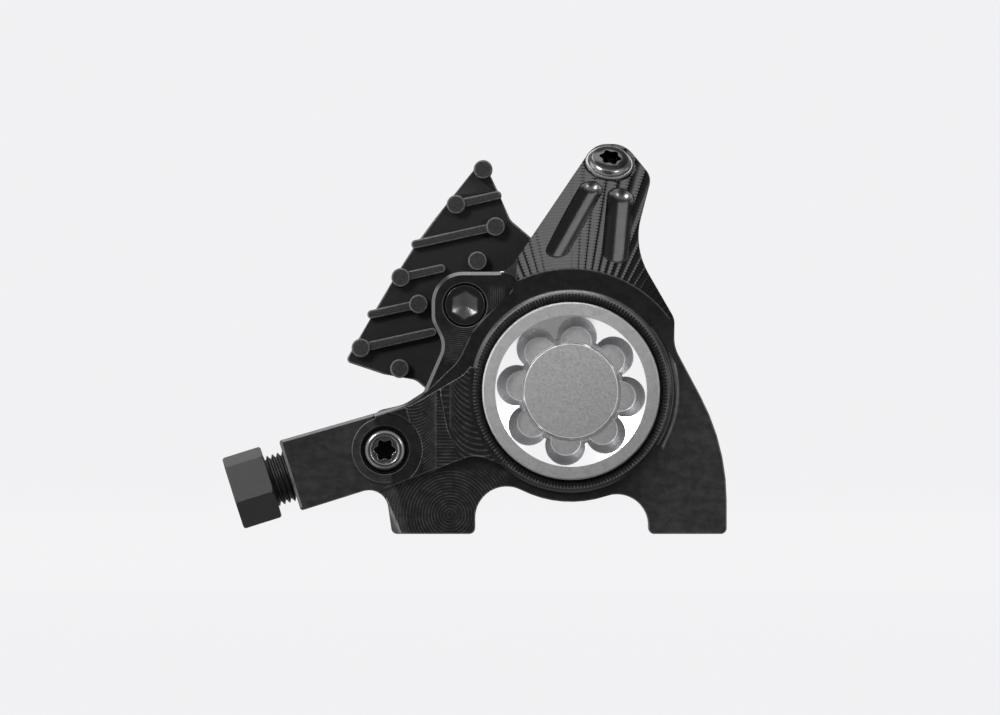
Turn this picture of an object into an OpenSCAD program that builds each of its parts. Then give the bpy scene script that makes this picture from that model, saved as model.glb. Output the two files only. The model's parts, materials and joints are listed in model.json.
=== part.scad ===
// Flat-mount hydraulic disc brake caliper with finned pads
// +X runs along the mounting bolts, +Y towards the wheel, +Z up
// The origin lies midway between the two bolt holes, on the plane of the feet

/* [Mounting] */
// Distance between the two mounting bolt holes
bolt_spacing = 34; // [32:0.5:37]
// Radius of a mounting bolt hole
bolt_hole_r = 2.1; // [1.7:0.1:2.5]
// Depth of a mounting bolt hole
bolt_hole_depth = 8; // [5:0.5:8.5]
// Length of a foot along the bolt line
foot_len = 10.6; // [9:0.1:11.5]
// Reach of the feet in front of the bolt line
foot_front = 5.2; // [4.4:0.1:5.4]
// How far the outer foot wall leans out at its base
foot_flare = 0.65; // [0:0.05:1]
// Width of the bevel on the left foot at its base
foot_bevel = 1.4; // [0.5:0.1:2]
// Height where the bevel on the left foot runs out
foot_bevel_high = 4.9; // [3:0.1:5]
// Radius of the arches beside the feet
arch_r = 4.25; // [3.5:0.05:4.5]
// Edge radius of the feet
foot_edge_r = 0.8; // [0.3:0.1:1.5]

/* [Cylinder] */
// Bore centre along the bolt line
bore_x = 1.25; // [0:0.05:2.5]
// Bore centre above the feet
bore_z = 19.33; // [18.8:0.01:20.5]
// Radius of a piston
piston_r = 11; // [10.5:0.05:11.1]
// Length of a piston
piston_len = 9.2; // [8:0.1:9.6]
// Radius of the hollow in a piston
piston_hollow_r = 7.6; // [5:0.1:9]
// Depth of the hollow in a piston
piston_hollow_depth = 6.4; // [3:0.1:7]
// Radial clearance of a piston in its bore
piston_clear = 0.05; // [0.02:0.01:0.1]
// Length of the fluid chamber behind a piston
chamber_len = 1; // [0.6:0.1:1.2]
// Width of a piston seal along the bore
seal_w = 1.9; // [1.4:0.1:2.2]
// Radial depth of a piston seal groove
seal_groove = 1.7; // [1.2:0.1:1.8]
// Clearance of a seal in its groove
seal_clear = 0.05; // [0.02:0.01:0.1]
// Wall between the pad pocket and a seal groove
seal_land = 1.9; // [1.5:0.1:2.4]

/* [Bore cap] */
// Outer radius of the bore cap
cap_r = 12.03; // [11.95:0.01:12.3]
// Radial clearance of the cap in its thread
cap_clear = 0.07; // [0.03:0.01:0.15]
// How far the cap rim stands proud of the ring boss
cap_proud = 0.35; // [0:0.05:0.8]
// Inner radius of the flat cap rim
cap_rim_r = 10.26; // [10.1:0.02:10.8]
// Depth of the lobed recess
cap_recess = 2.3; // [1.8:0.1:2.4]
// Radius of the raised disc in the middle of the cap
cap_disc_r = 6.6; // [6:0.1:6.9]
// Height of the raised disc above the recess floor
cap_disc_h = 0.5; // [0.4:0.1:1]
// Number of lobes in the recess
lobe_count = 8; // [6:1:10]
// Radius of a lobe at the rim
lobe_r = 3.43; // [3.2:0.01:3.5]
// Radius of a lobe at the floor
lobe_floor_r = 2; // [1.8:0.1:2.3]
// Distance of the lobes from the bore axis
lobe_ring_r = 6.7; // [6.5:0.05:6.75]
// Turn of the lobe pattern
lobe_turn = 6; // [0:1:45]

/* [Body] */
// Outer radius of the ring boss round the cap
ring_r = 13.75; // [13.4:0.05:14.2]
// Radius of the rounded underside below the ring boss
under_r = 15; // [14.6:0.1:15.3]
// Width of the bevel on the outer edge of the ring boss
ring_edge = 0.5; // [0.2:0.05:0.6]
// Reach of the ring boss in front of the bolt line
ring_front = 6.5; // [6.3:0.1:6.8]
// Drop from the ring boss to the band round it
band_drop = 0.4; // [0.2:0.1:0.6]
// Depth of the milled strip across the web
web_step = 0.15; // [0.05:0.05:0.3]
// Drop from the ring boss to the pin ear
ear_drop = 0.9; // [0.7:0.1:1.1]
// Radius of the rear housing
rear_r = 14.4; // [14:0.1:14.6]
// Radius where the rear taper starts
rear_taper_r = 15.2; // [14.8:0.1:15.6]
// Reach of the rear housing behind the bore end
rear_wall = 3.2; // [2.6:0.1:4]
// Place of the flat back of the bleed arm behind the rotor plane
arm_back = 8; // [7.6:0.1:9]

/* [Rotor and pads] */
// Distance of the rotor plane behind the bolt line
rotor_y = 12; // [11.8:0.1:12.4]
// Radius of the brake rotor
rotor_r = 70; // [69:0.5:71]
// Radius of the rotor track where the pistons press
track_r = 63; // [62.5:0.5:63.5]
// Clearance between the rotor edge and the bridges
rotor_clear = 2.5; // [2:0.1:3]
// Gap between the two linings with the pads apart
lining_gap = 3; // [2.6:0.1:3.2]
// Thickness of a lining
lining_t = 2; // [1.6:0.1:2.2]
// Thickness of a pad plate
plate_t = 1.6; // [1.4:0.1:1.8]
// Thickness of a pad fin
fin_t = 1.2; // [1:0.1:1.4]
// Height of the ribs on a fin
rib_h = 1.4; // [0.8:0.1:1.6]
// Half width of a pad plate
pad_half_w = 12.4; // [12:0.1:12.6]
// Clearance between the pads and the pocket walls
pocket_clear = 0.3; // [0.2:0.05:0.5]
// Angle of the pads above the bolt line
pad_angle = 40; // [39:0.5:41]

/* [Pad pin] */
// Distance of the pad pin from the bore axis
pin_dist = 18.45; // [18.2:0.05:19]
// Turn of the pad pin from the middle of the pads
pin_turn = 1; // [0:0.5:2]
// Radius of the pin shank
pin_r = 2; // [1.6:0.1:2.2]
// Radius of the pin head
pin_head_r = 2.74; // [2.6:0.02:3]
// Height of the pin head
pin_head_h = 2.4; // [2:0.1:2.8]
// Width across the flats of the pin socket
pin_socket = 3.2; // [2:0.1:3.4]
// Turn of the pin socket
pin_socket_turn = 32; // [0:1:60]
// Radius of the ear round the pin
ear_r = 4.5; // [4.2:0.1:4.8]
// Thickness of the pin clip
clip_t = 0.6; // [0.4:0.1:0.8]
// How far the pin clip reaches out past the pin
clip_reach = 1.1; // [0.8:0.1:1.3]

/* [Bleed arm] */
// Distance of the bleed screw from the bore axis in front view
bleed_dist = 31.3; // [30.8:0.1:32]
// Lean of the bleed arm to the right of vertical
bleed_lean = 9.65; // [8.5:0.05:10.5]
// Angle between the slope of the arm and the front faces
slope_angle = 49; // [47:0.5:50]
// Radius about the bore axis where the slope starts
slope_start_r = 16.2; // [16:0.1:16.6]
// Radius of the flange of the bleed screw
bleed_head_r = 3.35; // [3.2:0.05:3.4]
// Radius of the button on the bleed screw
bleed_button_r = 3; // [2.5:0.05:3]
// Radius of the bleed screw thread
bleed_r = 2.4; // [2:0.1:2.5]
// Length of the bleed screw below its head
bleed_len = 7; // [5:0.5:8]

/* [Hose arm] */
// Angle of the hose arm below the bolt line
hose_angle = 17.5; // [16.5:0.5:18.5]
// Distance of the end of the hose arm from the bore axis
hose_end_dist = 39.7; // [38.8:0.1:40.5]
// Height of the hose axis over the bore axis where they pass
hose_offset = 0.5; // [0.2:0.05:0.8]
// Width of the hose arm
hose_arm_w = 9.94; // [9.4:0.02:10.4]
// Depth of the hose arm from front to back
hose_arm_depth = 10; // [9.4:0.1:10.4]
// Drop from the ring boss to the hose arm
hose_drop = 0.9; // [0.6:0.1:1.2]
// Width of the hose nut across its flats
nut_af = 9; // [8.5:0.1:9.5]
// Length of the nut hexagon
nut_len = 5.4; // [4.5:0.1:6]
// Turn of the nut hexagon about its axis
nut_turn = 14.5; // [0:0.5:60]
// Length of nut thread that shows outside the arm
nut_out = 2.7; // [2:0.1:3]
// Radius of the nut thread
nut_thread_r = 3.5; // [3.2:0.05:3.6]
// Length of the nut thread
nut_thread_len = 7.2; // [6:0.1:7.6]
// Radius of the hole through the nut
nut_bore_r = 2.55; // [2.3:0.05:2.7]
// Length of the compression ring
olive_len = 3; // [2.4:0.1:3.2]

/* [Port screw] */
// Distance of the port screw from the end of the hose arm
port_dist = 13.3; // [13:0.1:13.8]
// Distance of the port screw below the hose axis
port_low = 0.54; // [0.3:0.02:0.8]
// Radius of the port screw head
port_head_r = 2.95; // [2.7:0.05:3]
// Height of the port screw head
port_head_h = 1.5; // [1.2:0.1:1.6]
// Radius of the counterbore round the port screw head
port_well_r = 3.3; // [3.15:0.05:3.5]
// Depth of the counterbore
port_well = 1.6; // [1.2:0.1:1.7]
// Radius of the boss round the port screw
port_boss_r = 4.5; // [4.2:0.05:4.7]
// Radius of the port screw thread
port_r = 1.95; // [1.7:0.05:2]
// Length of the port screw below its head
port_len = 2.6; // [2:0.1:2.8]

/* [Hidden] */

$fn = 64;
// Angle between two points of a rounded outline
arc_step = 6;
// Overlap of a cut past the face that it opens
cut = 0.5;
// Room past the whole part for large cuts
far = 60;
// Radial clearance of threads and pins in their holes
thread_clear = 0.05;
pin_clear = 0.1;
// Width of the small bevel at the mouth of the bore
mouth_bevel = 0.8;
// How far the head of the pin sits below the ear
pin_sink = 0.4;

// Anodised black, dark steel, silver, brass and rubber
black = [0.10, 0.10, 0.11];
dark = [0.22, 0.22, 0.23];
silver = [0.72, 0.72, 0.72];
brass = [0.78, 0.62, 0.30];
rubber = [0.06, 0.06, 0.06];
steel = [0.55, 0.55, 0.55];
lining_colour = [0.32, 0.27, 0.23];
ceramic = [0.90, 0.88, 0.84];

bore = [bore_x, bore_z];
foot_out = bolt_spacing / 2 + foot_len / 2;
foot_in = bolt_spacing / 2 - foot_len / 2;

// Directions in the front view: outwards along the pads, across them, and inwards along the hose
pad_u = [-cos(pad_angle), sin(pad_angle)];
pad_v = [sin(pad_angle), cos(pad_angle)];
hose_u = [cos(hose_angle), sin(hose_angle)];
hose_v = [-sin(hose_angle), cos(hose_angle)];
bleed_u = [sin(bleed_lean), cos(bleed_lean)];

function pad_point(across, out) = bore + across * pad_v + out * pad_u;
hose_end = bore - hose_end_dist * hose_u + hose_offset * hose_v;
function hose_point(along, up) = hose_end + along * hose_u + up * hose_v;

pin = bore + pin_dist * [-cos(pad_angle - pin_turn), sin(pad_angle - pin_turn)];
port = hose_point(port_dist, -port_low);
bleed = bore + bleed_dist * bleed_u;
rotor = bore - track_r * pad_u;

// Stations along Y, from the rotor plane outwards
plate_in = lining_gap / 2 + lining_t;
plate_out = plate_in + plate_t;
pocket = plate_out + fin_t + pocket_clear;
piston_end = plate_out + piston_len;
chamber_end = piston_end + chamber_len;
pocket_front = rotor_y - pocket;
pocket_rear = rotor_y + pocket;
rear_end = rotor_y + chamber_end + rear_wall;
arm_rear = rotor_y + arm_back;

ring_y = -ring_front;
band_y = ring_y + band_drop;
ear_y = ring_y + ear_drop;
hose_y = ring_y + hose_drop;
feet_y = -foot_front;
hose_axis_y = hose_y + hose_arm_depth / 2;
cap_seat_y = rotor_y - chamber_end + 0.5;
cap_y = ring_y - cap_proud;
cap_floor_y = cap_y + cap_recess;
bore_r = piston_r + piston_clear;

// Rounded outlines

function unit(v) = v / norm(v);
function arc(centre, r, from, to, step = arc_step) =
    let (steps = max(1, ceil(abs(to - from) / step)))
    [for (i = [0:steps])
        let (a = from + (to - from) * i / steps)
        centre + r * [cos(a), sin(a)]];
// The arc that rounds corner b between a and c, or b itself where r is zero
function corner(a, b, c, r) =
    r == 0 ? [b] :
    let (p = unit(a - b), q = unit(c - b))
    let (half = acos(p * q) / 2)
    let (centre = b + unit(p + q) * r / sin(half))
    let (start = b + p * r / tan(half) - centre)
    let (end = b + q * r / tan(half) - centre)
    let (from = atan2(start[1], start[0]), turn = atan2(end[1], end[0]) - from)
    arc(centre, r, from, from + (turn > 180 ? turn - 360 : turn < -180 ? turn + 360 : turn));
function spot(p) = [p[0], p[1]];
// The inner corners of an open run of points [x, z, radius], with its first and last points as guides
function run(points) =
    [for (i = [1:len(points) - 2])
        each corner(spot(points[i - 1]), spot(points[i]), spot(points[i + 1]), points[i][2])];
// A closed outline of points [x, z, radius]
function rounded(points) =
    let (n = len(points))
    run([points[n - 1], each points, points[0]]);
function at(p, r) = [p[0], p[1], r];

// Where an arch beside a foot touches the rounded underside
function arch_centre(side) =
    let (x = side * (foot_in - arch_r))
    [x, bore_z - sqrt(pow(under_r + arch_r, 2) - pow(bore_x - x, 2))];
function angle_to(a, b) = atan2(b[1] - a[1], b[0] - a[0]);

arch_left = arch_centre(-1);
arch_right = arch_centre(1);

// Corners of the outline, from the right flank over the bleed arm and the ear to the hose arm
flank = [
    [foot_out, bore_z - 7.3, 30],
    at(bore + [13.95, 5.97], 5)];
arm_and_ear = [
    at(bore + [14, 9.8], 2.5),
    at(bleed + [3.2, -11.4], 10),
    at(bleed + [5.75, -1.8], 2.2),
    at(bleed + [2.1, 2.7], 3.6),
    at(bleed + [-2.0, 2.7], 3.2),
    at(pin + [5.8, ear_r], 3),
    at(pin + [-ear_r, ear_r], 4.2),
    at(pin + [-ear_r, -2], 3),
    at(pin + [-2.85, -5.4], 3),
    at(pad_point(-pad_half_w - 0.5, 15.2), 0.6),
    at(hose_point(17.5, hose_arm_w / 2 - 0.45), 6)];
hose_outline = [
    at(hose_point(0, hose_arm_w / 2), 0.4),
    at(hose_point(0, -hose_arm_w / 2), 0.4),
    at(hose_point(11.9, -hose_arm_w / 2), 2.6)];
left_foot = [
    [-foot_out - foot_flare, 0, foot_edge_r],
    [-foot_in, 0, foot_edge_r]];
right_foot = [
    [foot_in, 0, foot_edge_r],
    [foot_out, 0, foot_edge_r]];
left_wall = [-foot_in, arch_left[1]];
right_wall = [foot_in, arch_right[1]];

front_outline = concat(
    run([at(right_wall, 0), each right_foot, each flank, each arm_and_ear, each hose_outline,
        each left_foot, at(left_wall, 0)]),
    arc(arch_left, arch_r, 180, angle_to(arch_left, bore)),
    arc(bore, under_r, angle_to(bore, arch_left), angle_to(bore, arch_right)),
    arc(arch_right, arch_r, angle_to(arch_right, bore), 0));

// The rear housing keeps the ring, the ear and the two bridges outside the rotor
rear_from = 228;
rear_to = 375;
rear_bridge = [
    at(hose_point(12.5, hose_arm_w / 2), 2),
    at(hose_point(12.5, -hose_arm_w / 2 + 1.5), 3)];
rear_start = bore + rear_r * [cos(rear_from), sin(rear_from)];
rear_stop = bore + rear_r * [cos(rear_to), sin(rear_to)];
rear_outline = concat(
    arc(bore, rear_r, rear_from, rear_to),
    run([at(rear_stop, 0), each arm_and_ear, each rear_bridge, at(rear_start, 0)]));

// Solids in the frame of the part

// An outline in X and Z between two stations along Y
module slab(outline, from, to) {
    translate([0, to, 0])
        rotate([90, 0, 0])
            linear_extrude(to - from)
                polygon(outline);
}

// A round bar along Y
module bar(centre, r, from, to) {
    translate([centre[0], to, centre[1]])
        rotate([90, 0, 0])
            cylinder(r = r, h = to - from);
}

// A profile of points [radius, y] turned about the bore axis
module turned(profile, from = 0, sweep = 360) {
    translate([bore_x, 0, bore_z])
        rotate([90, 0, 0])
            rotate([0, 0, from])
                rotate_extrude(angle = sweep, $fn = 128)
                    polygon([for (p = profile) [p[0], -p[1]]]);
}

// Places children at one point with their Z axis towards another
module point_along(from, to) {
    d = to - from;
    translate(from)
        rotate([0, acos(d[2] / norm(d)), atan2(d[1], d[0])])
            children();
}

// A round hole from one point to another
module drill(from, to, r) {
    point_along(from, to)
        cylinder(r = r, h = norm(to - from), $fn = 32);
}

// Places children with their Z axis along the bleed screw, pointing out, and the seat at zero
slope_rise = tan(slope_angle);
bleed_seat = 0.2;
bleed_spot = 0.25;
bleed_y = ring_y + (bleed_dist - slope_start_r) * slope_rise;
module at_bleed() {
    translate([bore_x, 0, bore_z])
        rotate([0, bleed_lean, 0])
            translate([0, bleed_y, bleed_dist])
                rotate([90 - slope_angle, 0, 0])
                    translate([0, 0, -bleed_seat])
                        children();
}

// Places children with their Z axis along the hose, pointing out of the arm, and its end face at zero
module at_hose() {
    translate([hose_end[0], hose_axis_y, hose_end[1]])
        rotate([0, -90 - hose_angle, 0])
            children();
}

// Places children with their Z axis along the port screw, pointing out, and the boss face at zero
boss_y = ring_y + 0.3;
module at_port() {
    translate([port[0], boss_y, port[1]])
        rotate([90, 0, 0])
            children();
}

// Mirrors the front pieces to the rear of the rotor
module rear_side() {
    translate([0, 2 * rotor_y, 0])
        mirror([0, 1, 0])
            children();
}

// Radius and depth of the star sockets
star_r = 1.5;
star_depth = 1.2;
// The six-lobed socket of a screw
module star(r, depth) {
    swing = r / 8;
    translate([0, 0, -depth])
        linear_extrude(depth + cut)
            polygon([for (a = [0:7.5:352.5]) (r - swing + swing * cos(6 * a)) * [cos(a), sin(a)]]);
}

// A ring with a square section
module ring(inner, outer, from, to) {
    translate([0, 0, from])
        difference() {
            cylinder(r = outer, h = to - from);
            translate([0, 0, -cut])
                cylinder(r = inner, h = to - from + 2 * cut);
        }
}

// Caliper body

// The web between the ring boss and the hose arm, at the level of the boss
web_outline = [
    each run([
        at(hose_point(8, 4.2), 0),
        at(hose_point(18.5, 4.2), 5),
        at(bore + [-14.2, 2.4], 4),
        at(bore + [-11, 8], 0)]),
    bore,
    each run([
        at(bore, 0),
        at(bore + [-8, -10.4], 3),
        at(bore + [-13, -8.6], 4),
        at(hose_point(11.2, -hose_arm_w / 2 - 0.6), 0),
        at(hose_point(8, -hose_arm_w / 2 - 1.6), 0)]),
    hose_point(8, -hose_arm_w / 2 - 1.6),
    hose_point(8, 4.2)];

// What the face mill leaves standing at the level of the ring boss
module raised_level() {
    turned([[0, ring_y - cut], [ring_r - ring_edge - cut, ring_y - cut], [ring_r, ring_y + ring_edge],
        [ring_r, 0], [0, 0]]);
    slab(web_outline, ring_y - cut, 0);
}

// The strip that is milled a little deeper across the web
web_strip = [
    hose_point(18.2, 7),
    hose_point(17.9, 4.5),
    hose_point(17.6, -5),
    hose_point(17.3, -8),
    hose_point(22.9, -8.2),
    hose_point(22.7, -4.7),
    hose_point(22.1, -0.4),
    hose_point(22.6, 3.9),
    hose_point(23.3, 7)];

// The edge between the band round the ring boss and the lower face of the ear
ear_top = [-7.5, 21];
ear_edge = [
    at(bore + ear_top, 0),
    at(bore + [-7.6, 13.9], 3),
    at(bore + [-13.2, 8.4], 8),
    at(bore + [-15.2, 4.1], 6),
    at(bore + [-20.5, -1], 0),
    at(bore + [-24, -2], 0)];
ear_zone = concat(run(ear_edge), [bore + [-far, 0], bore + [-far, far], bore + [ear_top[0], far], bore + ear_top]);

cove_from = -40;
foot_zone_to = -32;
foot_zone = [
    hose_point(11.2, -hose_arm_w / 2 - 0.6),
    bore + [-13, -8.6],
    bore + [-8, -10.4],
    bore,
    bore + far * [cos(foot_zone_to), sin(foot_zone_to)],
    [foot_out, -far],
    [-foot_out - far, -far]];

// Face milling of the front: band, ear, feet and right flank, hose arm, and the slope of the bleed arm
// Angles about the bore axis where the cove and the slope begin and end
cove_to = 38;
slope_from = 36;
slope_to = 119;
slope_left = bore_x + ear_top[0] + 0.22;
cove_land = 0.15;
// The ramp on which the cove runs out below the slope
ramp_from = 16;
ramp_tilt = 8.5;
module cove_ramp() {
    translate([bore_x, feet_y, bore_z])
        rotate([0, -ramp_from, 0])
            rotate([ramp_tilt, 0, 0])
                translate([0, 0, -cut])
                    cube(far);
}

module front_milling() {
    difference() {
        slab([[-far, -far], [far, -far], [far, far], [-far, far]], ring_y - cut, band_y);
        raised_level();
    }
    difference() {
        slab(ear_zone, ring_y - cut, ear_y);
        raised_level();
    }
    slab(web_strip, ring_y - cut, ring_y + web_step);
    difference() {
        slab(foot_zone, ring_y - cut, feet_y);
        raised_level();
    }
    cove_r = ring_r + cove_land;
    cove = feet_y - band_y;
    difference() {
        turned([[cove_r, ring_y - cut], each arc([cove_r + cove, band_y], cove, 180, 90, 22.5),
            [far, feet_y], [far, ring_y - cut]], cove_from, cove_to - cove_from);
        cove_ramp();
    }
    difference() {
        slab([hose_point(-far, -far), hose_point(port_dist, -far), hose_point(port_dist, far),
            hose_point(-far, far)], ring_y - cut, hose_y);
        bar(port, port_boss_r, ring_y - 2 * cut, 0);
    }
    bar(port, port_boss_r + cut, ring_y - cut, boss_y);
    slope_reach = arm_rear + far;
    difference() {
        turned([[slope_start_r - cut / slope_rise, ring_y - cut],
            [slope_start_r + slope_reach / slope_rise, ring_y + slope_reach],
            [slope_start_r + 2 * far, ring_y + slope_reach],
            [slope_start_r + 2 * far, ring_y - cut]], slope_from, slope_to - slope_from);
        slab([[-2 * far, -far], [slope_left, -far], [slope_left, 2 * far], [-2 * far, 2 * far]],
            ring_y - 2 * cut, ring_y + slope_reach + cut);
    }
}

// A round-ended flute milled along the slope between two points of the front view
function slope_y(p) = ring_y + (norm(p - bore) - slope_start_r) * slope_rise;
module flute(low, high, r, depth) {
    lift = r - depth;
    normal = [0, -cos(slope_angle), sin(slope_angle)];
    a = [low[0], slope_y(low), low[1]] + lift * normal;
    b = [high[0], slope_y(high), high[1]] + lift * normal;
    length = norm(b - a);
    point_along(a, b)
        rotate_extrude($fn = 48)
            polygon([each arc([0, 0], r, -90, 0, 15), each arc([0, length], r, 0, 90, 15)]);
}

// The bevel on the outer front edge of the left foot, widest at its base
module left_foot_bevel() {
    base = [-foot_out - foot_flare, 0];
    wall = hose_outline[2] - at(base, 0);
    high = base + foot_bevel_high / wall[1] * spot(wall);
    low = base + [foot_bevel, 0];
    lean = atan2(high[1] - low[1], low[0] - high[0]);
    length = norm(low - high);
    translate([high[0], feet_y, high[1]])
        rotate([0, lean, 0])
            rotate([90, 0, 90])
                linear_extrude(length + 2)
                    polygon([[-2, 2], [6, -6], [-2, -6]]);
}

// The rear faces taper away from the end of the housing to the flat back of the arm
module rear_taper() {
    taper = rear_end - arm_rear;
    turned([[rear_taper_r - cut, rear_end + cut], [rear_taper_r + taper, arm_rear],
        [far, arm_rear], [far, rear_end + cut]]);
}

// Gap for the rotor and pocket for the pads
module pad_pocket() {
    reach = pad_half_w + pocket_clear + 0.2;
    slab([pad_point(-reach, -far), pad_point(reach, -far), pad_point(reach, far),
        pad_point(-reach, far)], pocket_front, pocket_rear);
    bar(rotor, rotor_r + rotor_clear, pocket_front, pocket_rear);
}

// Cylinder bores with their seal grooves, chambers and the threaded mouth of the cap
module cylinder_bores() {
    mouth_r = cap_r + cap_clear;
    groove_r = bore_r + seal_groove;
    groove = pocket_front - seal_land;
    turned([[0, ring_y - cut], [mouth_r + mouth_bevel + cut, ring_y - cut], [mouth_r, ring_y + mouth_bevel],
        [mouth_r, cap_seat_y], [bore_r, cap_seat_y],
        [bore_r, groove - seal_w - 2 * seal_clear], [groove_r, groove - seal_w - 2 * seal_clear],
        [groove_r, groove], [bore_r, groove], [bore_r, pocket_front + cut], [0, pocket_front + cut]]);
    rear_groove = pocket_rear + seal_land;
    turned([[0, pocket_rear - cut], [bore_r, pocket_rear - cut], [bore_r, rear_groove], [groove_r, rear_groove],
        [groove_r, rear_groove + seal_w + 2 * seal_clear], [bore_r, rear_groove + seal_w + 2 * seal_clear],
        [bore_r, rotor_y + chamber_end], [0, rotor_y + chamber_end]]);
}

// Fluid drillings from the port to both chambers, and from the rear chamber to the bleed screw
duct_r = 0.7;
module ducts() {
    duct_front = rotor_y - chamber_end + duct_r;
    duct_rear = rotor_y + chamber_end - duct_r;
    bridge = bore + 17.6 * unit(port - bore);
    drill([port[0], duct_front, port[1]], [bore_x, duct_front, bore_z], duct_r);
    drill([bridge[0], duct_front, bridge[1]], [bridge[0], duct_rear, bridge[1]], duct_r);
    drill([bridge[0], duct_rear, bridge[1]], [bore_x, duct_rear, bore_z], duct_r);
    deep = bleed_len + 2;
    low_out = bleed_dist - deep * sin(slope_angle);
    low_y = bleed_y + deep * cos(slope_angle);
    low = bore + low_out * bleed_u;
    high = bore + (bore_r - 1) * bleed_u;
    drill([low[0], low_y, low[1]], [high[0], duct_rear, high[1]], duct_r);
}

clip_seat = rotor_y + pocket + 7.4;
clip_room = 0.8;
module fastener_holes() {
    for (side = [-1, 1])
        translate([side * bolt_spacing / 2, 0, -cut])
            cylinder(r = bolt_hole_r, h = bolt_hole_depth + cut);
    bar(pin, pin_r + pin_clear, ear_y - cut, rear_end + cut);
    bar(pin, pin_head_r + 2 * pin_clear, ear_y - 2 * cut, ear_y + pin_head_h + pin_sink);
    bar(pin, pin_r + clip_reach + clip_room, clip_seat, rear_end + cut);
    at_bleed() {
        translate([0, 0, -bleed_len - 2])
            cylinder(r = bleed_r + thread_clear, h = far);
        translate([0, 0, -bleed_seal_h])
            cylinder(r = bleed_head_r - seal_clear, h = far);
        cylinder(r = bleed_head_r + bleed_spot, h = 2);
    }
    at_port() {
        translate([0, 0, -port_well])
            cylinder(r = port_well_r, h = port_well + 2 * cut);
        translate([0, 0, -port_well - port_seal_h])
            cylinder(r = port_r + port_seal_w + seal_clear, h = port_well);
        translate([0, 0, -port_well - port_len - 1.6])
            cylinder(r = port_r + thread_clear, h = port_len + port_well);
    }
    at_hose() {
        translate([0, 0, -olive_seat])
            cylinder(r = nut_thread_r + thread_clear, h = olive_seat + cut);
        translate([0, 0, -port_dist])
            cylinder(r = nut_bore_r - 1.2, h = port_dist);
    }
}

// The hose arm is shallower than the front wall
module hose_arm_back() {
    slab([hose_point(-far, -far), hose_point(11.5, -far), hose_point(11.5, far), hose_point(-far, far)],
        hose_y + hose_arm_depth, pocket_front + cut);
}

module caliper_body() {
    color(black)
        difference() {
            union() {
                difference() {
                    slab(front_outline, ring_y, pocket_front);
                    hose_arm_back();
                }
                difference() {
                    slab(rear_outline, 0, rear_end);
                    pad_pocket();
                    rear_taper();
                }
            }
            front_milling();
            left_foot_bevel();
            flute(bleed + [-7.1, -11.75], bleed + [-2.45, -3.5], 1.9, 1);
            flute(bleed + [0.95, -12.3], bleed + [1.7, -4.6], 2.1, 1.2);
            cylinder_bores();
            ducts();
            fastener_holes();
        }
}

// Bore cap and its seal

cap_seal_w = 1;
cap_seal_depth = 0.8;
cap_skirt = 0.78;
// Ring of floor about the disc, and the wall from it to the cone of the recess
cap_moat = 0.45;
cap_wall = 1.05;
cap_draft = 0.2;
cap_groove_y = cap_seat_y - 0.4;
module bore_cap() {
    wall_y = cap_seat_y - 0.5;
    groove_r = cap_r - cap_seal_depth;
    inner_r = groove_r - cap_skirt;
    tip_r = cap_disc_r + cap_moat;
    lobe_slope = (lobe_r - lobe_floor_r) / cap_recess;
    disc_bevel = 0.25;
    color(silver) {
        difference() {
            turned([[0, cap_floor_y], [tip_r, cap_floor_y], [tip_r + cap_draft, cap_floor_y - cap_wall],
                [cap_rim_r, cap_y], [cap_r - 0.2, cap_y], [cap_r, cap_y + 0.2], [cap_r, cap_groove_y - cap_seal_w], [groove_r, cap_groove_y - cap_seal_w],
                [groove_r, cap_groove_y], [cap_r, cap_groove_y], [cap_r, cap_seat_y], [inner_r, cap_seat_y],
                [inner_r, wall_y], [0, wall_y]]);
            for (i = [0:lobe_count - 1])
                translate([bore_x, cap_floor_y, bore_z])
                    rotate([90, 90 + lobe_turn + i * 360 / lobe_count, 0])
                        translate([lobe_ring_r, 0, 0])
                            cylinder(r1 = lobe_floor_r, r2 = lobe_r + lobe_slope * cut, h = cap_recess + cut);
        }
        turned([[0, cap_floor_y + 0.3], [cap_disc_r, cap_floor_y + 0.3],
            [cap_disc_r, cap_floor_y - cap_disc_h + disc_bevel],
            [cap_disc_r - disc_bevel, cap_floor_y - cap_disc_h], [0, cap_floor_y - cap_disc_h]]);
    }
}

module bore_cap_seal() {
    groove_r = cap_r - cap_seal_depth;
    color(rubber)
        turned([[groove_r + seal_clear, cap_groove_y - cap_seal_w + seal_clear],
            [cap_r + cap_clear - 0.02, cap_groove_y - cap_seal_w + seal_clear],
            [cap_r + cap_clear - 0.02, cap_groove_y - seal_clear], [groove_r + seal_clear, cap_groove_y - seal_clear]]);
}

// Pistons and their seals

module piston() {
    face = rotor_y - plate_out;
    edge = 0.4;
    color(ceramic)
        turned([[0, face - piston_len], [piston_r - edge, face - piston_len], [piston_r, face - piston_len + edge],
            [piston_r, face - edge], [piston_r - edge, face], [piston_hollow_r, face],
            [piston_hollow_r, face - piston_hollow_depth], [0, face - piston_hollow_depth]]);
}

module piston_seal() {
    groove = pocket_front - seal_land - seal_clear;
    inner = piston_r + 0.03;
    outer = bore_r + seal_groove - seal_clear;
    color(rubber)
        turned([[inner, groove - seal_w], [outer, groove - seal_w], [outer, groove], [inner, groove]]);
}

module front_piston() {
    piston();
}
module rear_piston() {
    rear_side()
        piston();
}
module front_piston_seal() {
    piston_seal();
}
module rear_piston_seal() {
    rear_side()
        piston_seal();
}

// Brake pads: plate, lining and fin

function pad_outline(points) =
    rounded([for (p = points) at(pad_point(p[0], p[1]), p[2])]);

lining_low = -8;
lining_high = 6.8;
plate_low = -8.8;
plate_high = 16.5;
tab_half_w = 5;
tab_high = pin_dist + 4;
pin_hole_r = pin_r + 0.25;

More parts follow.
